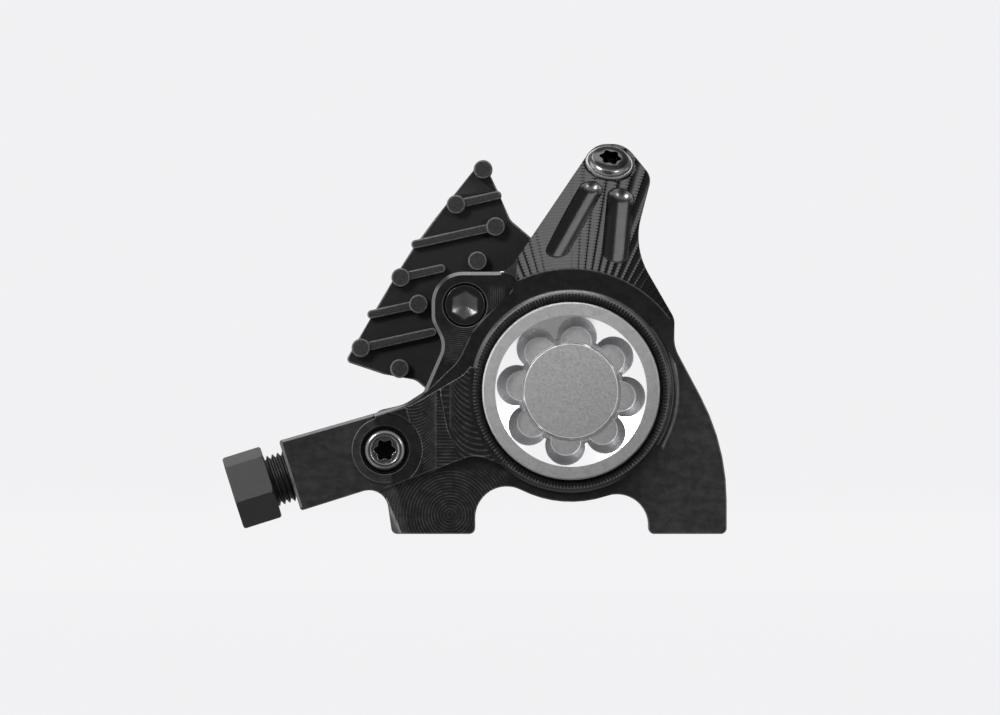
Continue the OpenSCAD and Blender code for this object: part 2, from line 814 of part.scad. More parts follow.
module pad_plate() {
    w = pad_half_w;
    color(steel)
        difference() {
            slab(pad_outline([[-w, plate_low, 3], [w, plate_low, 3], [w, plate_high, 2],
                [tab_half_w, plate_high, 1], [tab_half_w, tab_high, 2], [-tab_half_w, tab_high, 2],
                [-tab_half_w, plate_high, 1], [-w, plate_high, 2]]),
                rotor_y - plate_out, rotor_y - plate_in);
            bar(pin, pin_hole_r, pocket_front, rotor_y);
        }
}

module pad_lining() {
    w = pad_half_w - 1;
    color(lining_colour)
        slab(pad_outline([[-w, lining_low, 3], [w, lining_low, 3], [w - 1.5, lining_high, 3],
            [-w + 1.5, lining_high, 3]]), rotor_y - plate_in, rotor_y - lining_gap / 2);
}

// Studs across and out along the pad, and ribs by stud and reach, all as shares of half the pad's width
fin_low = 12.6;
rib_w = 1.2;
stud_r = 1.28;
rib_rise = [cos(12.5), sin(12.5)];
studs = [[1.238, 2.291], [0.755, 2.271], [0.847, 1.785], [0.433, 1.695], [-0.245, 2.221],
    [-0.343, 1.886], [-1.115, 2.059], [-1.016, 1.590]];
ribs = [[1, 0.460], [2, -0.895], [4, 0.452], [5, -0.524], [6, 0.798]];
// Corners of the fin outside the pocket, as the same shares with the corner radius
fin_corners = [[1.008, 1.71, 2], [1.161, 2.016, 4], [1.323, 2.371, 1], [0.081, 2.339, 70], [-1.339, 2.097, 0.6],
    [-1.177, 1.685, 3], [-1, 1.379, 2]];
function pad_share(s) = pad_point(s[0] * pad_half_w, s[1] * pad_half_w);

module pad_fin() {
    w = pad_half_w;
    top = rotor_y - plate_out;
    face = top - fin_t;
    color(black) {
        difference() {
            slab(rounded([at(pad_point(-w, fin_low), 1), at(pad_point(w, fin_low), 1),
                for (c = fin_corners) at(pad_share(c), c[2])]), face, top);
            bar(pin, pin_hole_r, pocket_front - cut, rotor_y);
        }
        for (s = studs)
            bar(pad_share(s), stud_r, face - rib_h, face + fin_t / 2);
        for (r = ribs)
            rib(pad_share(studs[r[0]]), r[1] * pad_half_w, face);
    }
}

// One rib that runs from a stud along the slant of the ribs
module rib(stud, reach, face) {
    side = rib_w / 2 * [-rib_rise[1], rib_rise[0]];
    end = stud + reach * rib_rise;
    height = rib_h * 0.75;
    slab([stud - side, end - side, end + side, stud + side], face - height, face + fin_t / 2);
    bar(end, rib_w / 2, face - height, face + fin_t / 2);
}

module front_pad_plate() {
    pad_plate();
}
module rear_pad_plate() {
    rear_side()
        pad_plate();
}
module front_pad_lining() {
    pad_lining();
}
module rear_pad_lining() {
    rear_side()
        pad_lining();
}
module front_pad_fin() {
    pad_fin();
}
module rear_pad_fin() {
    rear_side()
        pad_fin();
}

// Leaf spring bent over the pin, with a leg on the inner face of each pad plate
leaf_t = 0.35;
leaf_gap = 0.05;
bow_high = tab_high - 0.8;
module pad_spring() {
    half = plate_in - leaf_gap;
    inner = half - leaf_t;
    leg_w = 4;
    wing_w = 9.5;
    wing_low = lining_high + 1;
    color(steel)
        difference() {
            union() {
                for (side = [-1, 1])
                    slab(pad_outline([[-wing_w, wing_low, 1.5], [wing_w, wing_low, 1.5], [wing_w, wing_low + 4, 1.5],
                        [leg_w, wing_low + 4, 1], [leg_w, bow_high, 0], [-leg_w, bow_high, 0],
                        [-leg_w, wing_low + 4, 1], [-wing_w, wing_low + 4, 1.5]]),
                        rotor_y + (side < 0 ? -half : inner), rotor_y + (side < 0 ? -inner : half));
                bow = pad_point(0, bow_high);
                translate([bow[0], rotor_y, bow[1]])
                    rotate([0, 90 - pad_angle, 0])
                        translate([-leg_w, 0, 0])
                            rotate([90, 0, 90])
                                intersection() {
                                    ring(inner, half, 0, 2 * leg_w);
                                    translate([-half - cut, 0, -cut])
                                        cube([2 * half + 2 * cut, half + cut, 2 * leg_w + 2 * cut]);
                                }
            }
            bar(pin, pin_r + 0.6, pocket_front, pocket_rear);
        }
}

// Pad pin and its clip

groove_depth = 0.5;
pin_end = clip_seat + 2.4;
module pad_pin_bolt() {
    head_seat = ear_y + pin_head_h + pin_sink;
    socket_depth = 1.6;
    color(dark)
        difference() {
            union() {
                bar(pin, pin_head_r, head_seat - pin_head_h, head_seat);
                bar(pin, pin_r, head_seat - cut, pin_end);
            }
            translate([pin[0], head_seat - pin_head_h + socket_depth, pin[1]])
                rotate([90, pin_socket_turn, 0])
                    cylinder(r = pin_socket / 2 / cos(30), h = socket_depth + cut, $fn = 6);
            difference() {
                bar(pin, pin_r + cut, clip_seat + 0.4, clip_seat + 0.5 + clip_t);
                bar(pin, pin_r - groove_depth, clip_seat, pin_end);
            }
        }
}

module pad_pin_clip() {
    opening = 80;
    color(steel)
        translate([pin[0], clip_seat + 0.45 + clip_t, pin[1]])
            rotate([90, 0, 0])
                rotate([0, 0, 90 + opening / 2])
                    rotate_extrude(angle = 360 - opening)
                        translate([pin_r - groove_depth + 0.05, 0])
                            square([groove_depth + clip_reach, clip_t]);
}

// Bleed screw and its seal

bleed_seal_h = 1;
module bleed_screw() {
    crown = 1.4;
    crown_r = 0.6;
    flange = 0.5;
    flange_edge = 0.15;
    tip = 0.4;
    color(dark)
        at_bleed()
            difference() {
                rotate_extrude()
                    polygon([[0, -bleed_len], [bleed_r - tip, -bleed_len], [bleed_r, -bleed_len + tip], [bleed_r, 0],
                        [bleed_head_r, 0], [bleed_head_r, flange - flange_edge],
                        [bleed_head_r - flange_edge, flange], [bleed_button_r, flange],
                        each arc([bleed_button_r - crown_r, crown - crown_r], crown_r, 0, 90), [0, crown]]);
                translate([0, 0, crown])
                    star(star_r, star_depth);
            }
}
module bleed_screw_seal() {
    color(rubber)
        at_bleed()
            ring(bleed_r + seal_clear, bleed_head_r - 0.1, -bleed_seal_h + seal_clear, -0.02);
}

// Port screw and its seal

port_seal_h = 0.8;
port_seal_w = 0.6;
module port_screw() {
    seat = -port_well;
    crown_r = 0.85;
    dish_r = 1.95;
    dish = 0.2;
    tip = 0.3;
    color(dark)
        at_port()
            translate([0, 0, seat])
                difference() {
                    rotate_extrude()
                        polygon([[0, -port_len], [port_r - tip, -port_len], [port_r, -port_len + tip], [port_r, 0],
                            [port_head_r, 0], [port_head_r, port_head_h - crown_r],
                            each arc([port_head_r - crown_r, port_head_h - crown_r], crown_r, 0, 90),
                            [dish_r, port_head_h], [dish_r - dish, port_head_h - dish], [0, port_head_h - dish]]);
                    translate([0, 0, port_head_h - dish])
                        star(star_r, star_depth - dish);
                }
}
module port_screw_seal() {
    color(rubber)
        at_port()
            ring(port_r + seal_clear, port_r + port_seal_w, -port_well - port_seal_h + seal_clear, -port_well - 0.02);
}

// Hose nut and compression ring

olive_seat = nut_thread_len - nut_out + olive_len + 1.9;
module hose_nut() {
    corner_r = nut_af / 2 / cos(30);
    color(dark)
        at_hose()
            difference() {
                union() {
                    translate([0, 0, nut_out - nut_thread_len])
                        cylinder(r = nut_thread_r, h = nut_thread_len + cut);
                    intersection() {
                        translate([0, 0, nut_out])
                            rotate([0, 0, nut_turn])
                                cylinder(r = corner_r, h = nut_len, $fn = 6);
                        translate([0, 0, nut_out])
                            rotate_extrude()
                                polygon([[0, 0], [corner_r - 0.35, 0], [corner_r + 0.3, 0.4],
                                    [corner_r + 0.3, nut_len - 0.4], [corner_r - 0.35, nut_len], [0, nut_len]]);
                    }
                }
                translate([0, 0, nut_out - nut_thread_len - cut])
                    cylinder(r = nut_bore_r, h = nut_thread_len + nut_len + 2 * cut);
            }
}
module hose_olive() {
    outer = nut_thread_r - 0.05;
    edge = 0.5;
    color(brass)
        at_hose()
            translate([0, 0, -olive_seat + 0.05])
                rotate_extrude()
                    polygon([[nut_bore_r, 0], [outer - edge, 0], [outer, 1], [outer, olive_len - 1],
                        [outer - edge, olive_len], [nut_bore_r, olive_len]]);
}

caliper_body();
bore_cap();
bore_cap_seal();
front_piston();
rear_piston();
front_piston_seal();
rear_piston_seal();
front_pad_plate();
rear_pad_plate();
front_pad_lining();
rear_pad_lining();
front_pad_fin();
rear_pad_fin();
pad_spring();
pad_pin_bolt();
pad_pin_clip();
bleed_screw();
bleed_screw_seal();
port_screw();
port_screw_seal();
hose_nut();
hose_olive();
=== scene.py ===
import json
import math

import bmesh
import bpy
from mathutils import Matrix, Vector, geometry


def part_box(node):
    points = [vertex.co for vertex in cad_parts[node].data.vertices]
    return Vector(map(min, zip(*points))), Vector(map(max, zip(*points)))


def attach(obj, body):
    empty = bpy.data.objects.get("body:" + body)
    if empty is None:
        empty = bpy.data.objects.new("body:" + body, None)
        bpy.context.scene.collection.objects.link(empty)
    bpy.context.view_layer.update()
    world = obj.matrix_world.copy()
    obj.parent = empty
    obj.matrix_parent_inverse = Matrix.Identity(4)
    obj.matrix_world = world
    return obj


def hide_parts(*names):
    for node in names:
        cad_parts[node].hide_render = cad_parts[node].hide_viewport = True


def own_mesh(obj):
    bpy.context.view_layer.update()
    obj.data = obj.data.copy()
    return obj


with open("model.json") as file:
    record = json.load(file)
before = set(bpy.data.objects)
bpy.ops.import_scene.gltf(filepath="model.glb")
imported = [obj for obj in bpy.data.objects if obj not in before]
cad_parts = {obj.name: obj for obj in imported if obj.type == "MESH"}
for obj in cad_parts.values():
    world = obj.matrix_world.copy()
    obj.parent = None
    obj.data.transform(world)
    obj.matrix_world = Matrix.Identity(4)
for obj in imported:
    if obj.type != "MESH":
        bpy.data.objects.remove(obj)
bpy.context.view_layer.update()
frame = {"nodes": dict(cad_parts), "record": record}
print("frame loaded with", len(frame["nodes"]), "nodes")

mm = 0.001
bore = (1.25, 19.33)  # bore axis in X and Z, mm
hoseEnd = (-36.763, 7.869)  # middle of the hose arm's end face in X and Z
hoseLean = math.radians(17.5)
hoseDepth = -0.6


def inMetres(point):
    return Vector(point) * mm


def grey(level, blue):
    return (level, level, blue)


# shader helpers
class Wire:
    def __init__(self, owner, socket):
        self.owner = owner
        self.socket = socket

    def maths(self, operation, first, second=0.0):
        return self.owner.node("ShaderNodeMath", {"operation": operation}, {0: first, 1: second})

    def __add__(self, other):
        return self.maths("ADD", self, other)

    def __radd__(self, other):
        return self.maths("ADD", other, self)

    def __sub__(self, other):
        return self.maths("SUBTRACT", self, other)

    def __rsub__(self, other):
        return self.maths("SUBTRACT", other, self)

    def __mul__(self, other):
        return self.maths("MULTIPLY", self, other)

    def __rmul__(self, other):
        return self.maths("MULTIPLY", other, self)

    def __truediv__(self, other):
        return self.maths("DIVIDE", self, other)

    def __rtruediv__(self, other):
        return self.maths("DIVIDE", other, self)

    def __pow__(self, other):
        return self.maths("POWER", self, other)

    def __abs__(self):
        return self.maths("ABSOLUTE", self)


class Tree:
    def __init__(self, tree):
        self.tree = tree

    def node(self, kind, settings=None, sockets=None, out=0):
        made = self.tree.nodes.new(kind)
        for name, value in (settings or {}).items():
            if name == "stops":
                self.setStops(made.color_ramp, value)
            else:
                setattr(made, name, value)
        for name, value in (sockets or {}).items():
            self.feed(made.inputs[name], value)
        return Wire(self, made.outputs[out])

    def feed(self, socket, value):
        if isinstance(value, Wire):
            self.tree.links.new(value.socket, socket)
        else:
            socket.default_value = value

    def split(self, vector):
        made = self.node("ShaderNodeSeparateXYZ", {}, {0: vector})
        return [Wire(self, socket) for socket in made.socket.node.outputs]

    def setStops(self, ramp, stops):
        ramp.interpolation = "EASE"
        for place, (at, level) in enumerate(stops):
            stop = ramp.elements[place] if place < 2 else ramp.elements.new(at)
            stop.position, stop.color = at, (level, level, level, 1)

    def between(self, value, low, high, atLow=0.0, atHigh=1.0):
        sockets = {"Value": value, "From Min": low, "From Max": high, "To Min": atLow, "To Max": atHigh}
        return self.node("ShaderNodeMapRange", {"interpolation_type": "SMOOTHSTEP"}, sockets)

    def fade(self, value, low, high):
        return 1 - self.between(value, low, high)

    def inside(self, value, low, high, soft):
        return self.between(value, low - soft, low + soft) * self.fade(value, high - soft, high + soft)


class Finish(Tree):
    def __init__(self, name):
        self.material = bpy.data.materials.new(name)
        self.material.use_nodes = True
        super().__init__(self.material.node_tree)
        self.shader = self.tree.nodes["Principled BSDF"]
        coordinates = self.node("ShaderNodeTexCoord", out="Object")
        scale = {"Vector": coordinates, "Scale": (1000, 1000, 1000)}
        self.point = self.node("ShaderNodeMapping", {}, scale)  # mm on the piece
        self.x, self.y, self.z = self.split(self.point)

    def set(self, **values):
        for name, value in values.items():
            self.feed(self.shader.inputs[name.replace("_", " ")], value)
        return self.material

    def noise(self, scale, detail=3.0, rough=0.55, stretch=(1, 1, 1)):
        place = self.node("ShaderNodeMapping", {}, {"Vector": self.point, "Scale": stretch})
        sockets = {"Vector": place, "Scale": scale, "Detail": detail, "Roughness": rough}
        return self.node("ShaderNodeTexNoise", {}, sockets, out="Fac")

    def blend(self, factor, under, over):
        sides = [side if isinstance(side, Wire) else (*side, 1) for side in (under, over)]
        sockets = {"Factor": factor, 6: sides[0], 7: sides[1]}
        return self.node("ShaderNodeMix", {"data_type": "RGBA"}, sockets, out=2)

    def worn(self):
        # 0 on plain faces, up to 1 on broken edges, which the finishes paint lighter as a painted highlight
        return self.node("ShaderNodeAttribute", {"attribute_name": "worn"}, out="Fac")

    def distance(self, x, z):
        across, up = self.x - x, self.z - z
        return self.x.maths("SQRT", across * across + up * up)

    def angle(self, x, z):
        return self.x.maths("ARCTAN2", self.z - z, self.x - x)

    def along(self, start, lean):
        return (self.x - start[0]) * math.cos(lean) + (self.z - start[1]) * math.sin(lean)

    def arcRows(self, x, radius, pitch):
        across = self.x - x
        left = self.x.maths("MAXIMUM", radius * radius - across * across, 0.0)
        return self.scallop((self.z + self.x.maths("SQRT", left)) / pitch)

    def scallop(self, turns):
        part = turns.maths("FRACT", turns) - 0.5
        return part * part * 4.0

    def uneven(self, noise, values):
        return self.between(noise, 0.3, 0.7, *values)

    def bump(self, height):
        return self.node("ShaderNodeBump", {}, {"Height": height, "Distance": mm, "Strength": 1.0})


# camera, square on to the front of the caliper
camera = {"centre": (-8.35, 23.86), "width": 135.19, "plane": -5.0, "lens": 1000.0, "sensor": 36.0}
cameraData = bpy.data.cameras.new("camera")
cameraData.lens = camera["lens"]
cameraData.sensor_width = camera["sensor"]
cameraObject = bpy.data.objects.new("camera", cameraData)
bpy.context.collection.objects.link(cameraObject)
standOff = camera["width"] * camera["lens"] / camera["sensor"]
cameraObject.location = inMetres((camera["centre"][0], camera["plane"] - standOff, camera["centre"][1]))
cameraObject.rotation_euler = (math.pi / 2, 0, 0)
bpy.context.scene.camera = cameraObject

# pale bowl round the caliper: floor, bend and wall in metres, out of sight of reflections
bowl = {"middle": 0.2, "floor": 6.5, "bend": 1.5, "height": 8.0, "turnSteps": 96, "bendSteps": 12,
        "low": (0.015,) * 3, "high": (0.025,) * 3, "tint": (0.995, 0.995, 1.01, 1), "glow": 0.886}


def bowlFinish():
    finish = Finish("palePaper")
    colour = finish.blend(finish.noise(0.05), bowl["low"], bowl["high"])
    return finish.set(Base_Color=colour, Roughness=0.95, Specular_IOR_Level=0.0, Emission_Color=bowl["tint"],
                      Emission_Strength=bowl["glow"])


def makeBowl():
    mesh = bmesh.new()
    rows = [(0.0, 0.0), (bowl["middle"], 0.0), (bowl["floor"], 0.0)]
    for step in range(1, bowl["bendSteps"] + 1):
        lean = math.pi / 2 * step / bowl["bendSteps"]
        rows.append((bowl["floor"] + bowl["bend"] * math.sin(lean), bowl["bend"] * (1 - math.cos(lean))))
    rows.append((bowl["floor"] + bowl["bend"], bowl["height"]))
    points = [mesh.verts.new((out, 0, up)) for out, up in rows]
    edges = [mesh.edges.new(pair) for pair in zip(points, points[1:])]
    bmesh.ops.spin(mesh, geom=points + edges, cent=(0, 0, 0), axis=(0, 0, 1), angle=2 * math.pi,
                   steps=bowl["turnSteps"], use_merge=True)
    bmesh.ops.remove_doubles(mesh, verts=mesh.verts, dist=1e-6)
    bmesh.ops.recalc_face_normals(mesh, faces=mesh.faces)
    if mesh.faces[0].normal.z < 0:
        bmesh.ops.reverse_faces(mesh, faces=mesh.faces)
    data = bpy.data.meshes.new("bowl")
    mesh.to_mesh(data)
    mesh.free()
    data.shade_smooth()
    data.materials.append(bowlFinish())
    made = bpy.data.objects.new("bowl", data)
    made.visible_glossy = False
    made.visible_diffuse = False
    made.visible_shadow = False
    bpy.context.collection.objects.link(made)


makeBowl()

# studio light in metres: a box overhead, strips at the sides, two soft keys beside the camera, a box behind
lights = {
    "overheadBox": {"at": (-0.07, 0.10, 0.70), "aim": (-0.07, 0.10, 0.0), "size": (0.58, 0.32), "watts": 2.0},
    "leftStrip": {"at": (-0.75, -0.05, 0.10), "aim": (0.0, -0.05, 0.10), "size": (0.5, 0.9), "watts": 2.2},
    "rightStrip": {"at": (0.75, 0.0, 0.15), "aim": (0.0, 0.0, 0.15), "size": (0.5, 0.15), "watts": 0.24},
    "keyLeft": {"at": (-0.55, -0.75, 0.55), "aim": (0.0, 0.0, 0.02), "size": (0.30, 0.30), "watts": 6.0},
    "keyRight": {"at": (0.60, -0.80, 0.35), "aim": (0.0, 0.0, 0.02), "size": (0.25, 0.25), "watts": 1.6},
    "backBox": {"at": (0.10, 0.80, 0.40), "aim": (0.10, 0.0, 0.40), "size": (0.8, 0.5), "watts": 1.2},
}
# radiance that reflections see: a ramp from front to back, what is left of it below, pale ground behind
sky = {
    "stops": ((0.02, 0.10), (0.11, 1.0), (0.25, 1.0), (0.40, 0.3), (1.0, 0.35)),
    "up": (-0.259, 0.0, 0.966), "dark": -0.70, "full": -0.58, "below": 0.22,
    "groundFrom": 0.7, "groundFull": 1.2, "ground": 0.8,
}


def makeLight(name, values):
    data = bpy.data.lights.new(name, "AREA")
    data.shape = "RECTANGLE"
    data.size, data.size_y = values["size"]
    data.energy = values["watts"]
    made = bpy.data.objects.new(name, data)
    made.location = values["at"]
    towards = Vector(values["aim"]) - made.location
    made.rotation_euler = towards.to_track_quat("-Z", "Y").to_euler()
    made.visible_camera = False
    bpy.context.collection.objects.link(made)


def makeSky():
    world = bpy.data.worlds.new("studio")
    world.use_nodes = True
    bpy.context.scene.world = world
    tree = Tree(world.node_tree)
    direction = tree.node("ShaderNodeTexCoord", out="Generated")
    depth, up = tree.split(direction)[1:]
    level = tree.node("ShaderNodeValToRGB", {"stops": sky["stops"]}, {"Fac": depth * 0.5 + 0.5})
    sockets = {0: direction, 1: sky["up"]}
    height = tree.node("ShaderNodeVectorMath", {"operation": "DOT_PRODUCT"}, sockets, out="Value")
    left = tree.between(height, sky["dark"], sky["full"], sky["below"])
    ground = tree.between(depth - up, sky["groundFrom"], sky["groundFull"], 0.0, sky["ground"])
    background = world.node_tree.nodes["Background"]
    tree.feed(background.inputs["Strength"], level * left + ground)
    tree.feed(background.inputs["Color"], (1, 1, 1, 1))
    world.cycles_visibility.diffuse = False  # matt faces are lit by the lights alone


for lightName, lightValues in lights.items():
    makeLight(lightName, lightValues)
makeSky()
bpy.context.scene.view_settings.view_transform = "Standard"
print("camera, bowl and", len(lights), "lights ready")

bodyOf = {}
for bodyName, bodyNodes in frame["record"]["behaviour"]["bodies"].items():
    for nodeName in bodyNodes:
        bodyOf[nodeName] = bodyName

# pieces that follow a CAD node, with their edges broken
sliverWidth = 0.012  # mm


def everything(mesh):
    return mesh.verts[:] + mesh.edges[:] + mesh.faces[:]


def takeNode(node, cuts=(), first=None):
    mesh = bmesh.new()
    mesh.from_mesh(frame["nodes"][node].data)
    bmesh.ops.remove_doubles(mesh, verts=mesh.verts, dist=1e-7)
    if first:
        first(mesh)
    for place, direction in cuts:  # a cut through each hole, so that no joined face is a ring
        made = bmesh.ops.bisect_plane(mesh, geom=everything(mesh), dist=1e-8, plane_co=inMetres(place),
                                      plane_no=direction)
        for item in made["geom_cut"]:
            if isinstance(item, bmesh.types.BMEdge):
                item.seam = True
    bmesh.ops.dissolve_limit(mesh, angle_limit=math.radians(0.4), verts=mesh.verts, edges=mesh.edges,
                             delimit={"SEAM"})
    rings = [face for face in mesh.faces if len(set(face.verts)) < len(face.verts)]
    if rings:
        bmesh.ops.triangulate(mesh, faces=rings, ngon_method="EAR_CLIP")
    print(node, "has", len(mesh.faces), "faces,", len(rings), "rings")
    return mesh


def sliver(face):
    return face.calc_area() < sliverWidth * mm * max(edge.calc_length() for edge in face.edges)


def breakEdges(mesh, width, choose=None, least=28.0, segments=2, flat=(), soft=0.3):
    groups = {}
    for edge in mesh.edges:
        if len(edge.link_faces) != 2 or not edge.is_convex or any(sliver(face) for face in edge.link_faces):
            continue
        if math.degrees(edge.calc_face_angle(0.0)) > least:
            share = choose(edge) if choose else 1.0
            groups.setdefault(share, []).append(edge)
    groups.pop(0.0, None)
    worn = mesh.faces.layers.float.new("worn")
    for share in sorted(groups, reverse=True):
        edges = [edge for edge in groups[share] if edge.is_valid]
        made = bmesh.ops.bevel(mesh, geom=edges, offset=width * share * mm, offset_type="OFFSET",
                               affect="EDGES", segments=1 if share in flat else segments, profile=0.5,
                               clamp_overlap=False, loop_slide=False, material=-1)
        for face in made["faces"]:
            face[worn] = 1.0 if share in flat else soft


def faceNormals(mesh, limit, special=None):
    areas = {face: face.calc_area() for face in mesh.faces}
    least = math.cos(math.radians(limit))
    normals = []
    for face in mesh.faces:
        for loop in face.loops:
            total = Vector((0, 0, 0))
            for other in loop.vert.link_faces:
                if other.normal.dot(face.normal) > least:
                    total += other.normal * areas[other]
            exact = special(face, loop.vert.co / mm) if special else None
            normals.append(exact or total.normalized())
    return normals


def settle(mesh, name, material, limit=28.0, special=None):
    mesh.normal_update()
    normals = faceNormals(mesh, limit, special)
    data = bpy.data.meshes.new(name)
    mesh.to_mesh(data)
    mesh.free()
    data.shade_smooth()
    data.normals_split_custom_set(normals)
    data.materials.append(material)
    made = bpy.data.objects.new(name, data)
    bpy.context.collection.objects.link(made)
    return made


def standFor(made, node):
    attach(made, bodyOf[node])
    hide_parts(node)


# machined body, sizes in mm; some of its tones are painted light: a sheen on the hose arm, highlights at the
# flute ends, on broken edges and in an arc above the bore, shade in the slope's ridges
body = {
    "edge": 0.45, "base": grey(0.042, 0.044), "light": grey(0.066, 0.068), "markAndArcHighlight": grey(0.26, 0.265),
    "arm": grey(0.15, 0.153), "slope": grey(0.027, 0.028), "worn": grey(0.10, 0.103),
    "ridgeShadeTone": grey(0.002, 0.002), "fluteEndHighlight": grey(0.14, 0.142), "rough": (0.24, 0.30),
    "slopeStart": 16.2, "slopeRise": math.tan(math.radians(49)), "ringFront": -6.5,
    "pin": (-13.09, 30.94), "port": (-23.916, 11.353), "flank": (0.829, -0.56, -25.88),
    "flutes": (((-0.6, 38.44), (4.05, 46.69)), ((7.45, 37.89), (8.2, 45.59))),
    "cuts": [((x, 0, 0), (1, 0, 0)) for x in (1.25, -13.09, -23.916, 6.497, -17.0, 17.0, -25.5)]
    + [((0, hoseDepth, 0), (0, 1, 0))],
}
# areas with a look of their own: where each begins or ends, soft between the two numbers; the hose arm's face
# and the lower right get a painted sheen, the tops of the flutes a painted highlight
areas = {
    "front": (-5.0, -4.6), "arm": (12.8, 13.4), "tip": (-5.58, -5.5),
    "lowRightSheen": {"lean": 0.35, "from": (3.0, 15.0)},
    "flutes": {"below": (0.2, 2.4), "low": (36.0, 37.0)},
    "fluteTopHighlight": {"lean": 0.27, "from": (47.3, 48.0)},
    "sides": {"depth": (-4.6, -4.0), "below": (0.3, 0.6)},
}
# traces of the cutter: where they lie in the front view and how far apart they are; the slope's dark dots are
# painted shade and the arc is a painted highlight
marks = {
    "slope": {"turns": (35.5, 119.5), "reach": (16.1, 16.4), "left": (-6.1, -6.0), "row": 3.1, "step": 0.42,
              "rowHeight": 0.06, "stepHeight": 0.012, "unshadedTurn": 95.0, "unshadedHalf": (3.0, 10.0)},
    "foot": {"centre": (-15.1, 2.6), "pitch": 0.42, "top": (8.4, 9.0), "right": (-8, -6),
             "depth": (-5.5, -5.3)},
    "boss": {"depth": (-6.3, -6.1), "low": (7.4, 8.0)},
    "strip": {"arc": (-20.35, 3.4, 0.45), "along": (17.5, 22.4)},
    "web": {"arc": (-10.83, 4.3, 0.78), "along": (22.6, 29.5), "reach": (13.6, 13.9)},
    "ear": {"depth": (-5.7, -5.5)},
    "besidePin": {"pitch": 0.3, "x": (-10.0, -7.6), "z": (30.0, 33.5)},
    "belowPin": {"pitch": 0.28, "lean": 0.12, "x": (-16.0, -10.5), "z": (23.0, 28.0)},
    "teeth": {"turn": 2.0, "reach": (12.35, 13.25)},
    "arc": {"reach": (13.25, 13.75), "z": (23.0, 31.0)},
}
# the thin tip of the ear is laid back to the slope, from a line in the ear's face
tip = {"line": (-8.0, 35.5), "across": (0.388, 0.0, 0.921), "ear": -5.6, "left": -8.4, "right": -6.02,
       "deep": -2.5, "low": 34.0, "high": 37.5, "join": 0.03, "colour": grey(0.030, 0.031)}


def slopeAt(reach):
    return (reach - body["slopeStart"]) * body["slopeRise"] + body["ringFront"]


def pastTip(x, z):
    return (x - tip["line"][0]) * tip["across"][0] + (z - tip["line"][1]) * tip["across"][2]


def slopeMarks(finish, reach, turn):
    values = marks["slope"]
    onSlope = finish.fade(abs(finish.y - slopeAt(reach)), 0.05, 0.2) * finish.between(reach, *values["reach"])
    onSlope = onSlope * finish.inside(turn, *values["turns"], 0.5) * finish.between(finish.x, *values["left"])
    rows = finish.scallop(turn / values["row"])
    steps = finish.scallop(reach / values["step"])
    ridges = rows * values["rowHeight"] + steps * values["stepHeight"]
    # painted shade: dark dots where the radial and concentric ridges cross, and faint dark concentric lines,
    # stand in for the ridges' shading and fade round the top of the arm
    sideShade = finish.between(abs(turn - values["unshadedTurn"]), *values["unshadedHalf"])
    ridgeShade = finish.between(rows, 0.2, 0.55) * finish.between(steps, 0.15, 0.4) * sideShade
    ridgeShade = ridgeShade * 0.9 + finish.between(steps, 0.3, 0.8) * 0.2
    return onSlope, ridges * onSlope, ridgeShade * onSlope


def footMarks(finish):
    values = marks["foot"]
    rings = finish.scallop(finish.distance(*values["centre"]) / values["pitch"])
    rings = rings * finish.fade(finish.z, *values["top"]) * finish.fade(finish.x, *values["right"])
    return rings * finish.between(finish.y, *values["depth"])


def bossMarks(finish, reach, along):
    boss, strip, web = marks["boss"], marks["strip"], marks["web"]
    rows = finish.arcRows(*strip["arc"]) * finish.inside(along, *strip["along"], 0.1)
    arcs = finish.arcRows(*web["arc"]) * finish.inside(along, *web["along"], 0.1)
    rows = rows + arcs * finish.between(reach, *web["reach"])
    return rows * finish.fade(finish.y, *boss["depth"]) * finish.between(finish.z, *boss["low"])


def earMarks(finish):
    beside, under = marks["besidePin"], marks["belowPin"]
    upright = finish.scallop(finish.x / beside["pitch"]) * finish.inside(finish.x, *beside["x"], 0.3)
    upright = upright * finish.inside(finish.z, *beside["z"], 0.5)
    level = finish.scallop((finish.z + finish.x * under["lean"]) / under["pitch"])
    level = level * finish.inside(finish.x, *under["x"], 0.4) * finish.inside(finish.z, *under["z"], 0.6)
    return (upright + level) * finish.inside(finish.y, *marks["ear"]["depth"], 0.05)


